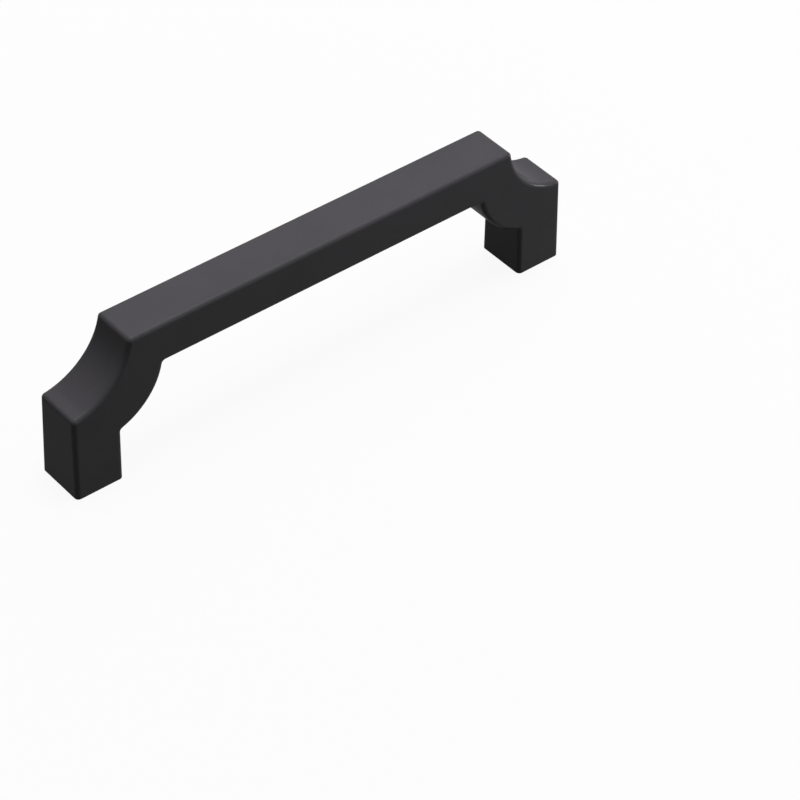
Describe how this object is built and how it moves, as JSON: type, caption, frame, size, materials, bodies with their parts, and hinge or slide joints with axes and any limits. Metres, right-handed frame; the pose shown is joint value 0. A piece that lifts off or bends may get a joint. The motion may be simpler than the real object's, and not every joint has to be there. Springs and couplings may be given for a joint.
{
  "type": "bar pull",
  "caption": "Straight bar pull for a cabinet door or drawer, cast in one piece, with a concave scoop outside and a rounded web inside each corner and a blind tapped hole in each foot.",
  "frame": {"origin": "midway between the two feet, on the mounting plane", "axes": "+X along the pull, +Y across it, +Z away from the door or drawer front"},
  "size_m": [0.1054, 0.01, 0.0281],
  "materials": {
    "satin_black": "satin"
  },
  "bodies": {
    "root": {"bar_pull": "satin_black"}
  },
  "joints": []
}
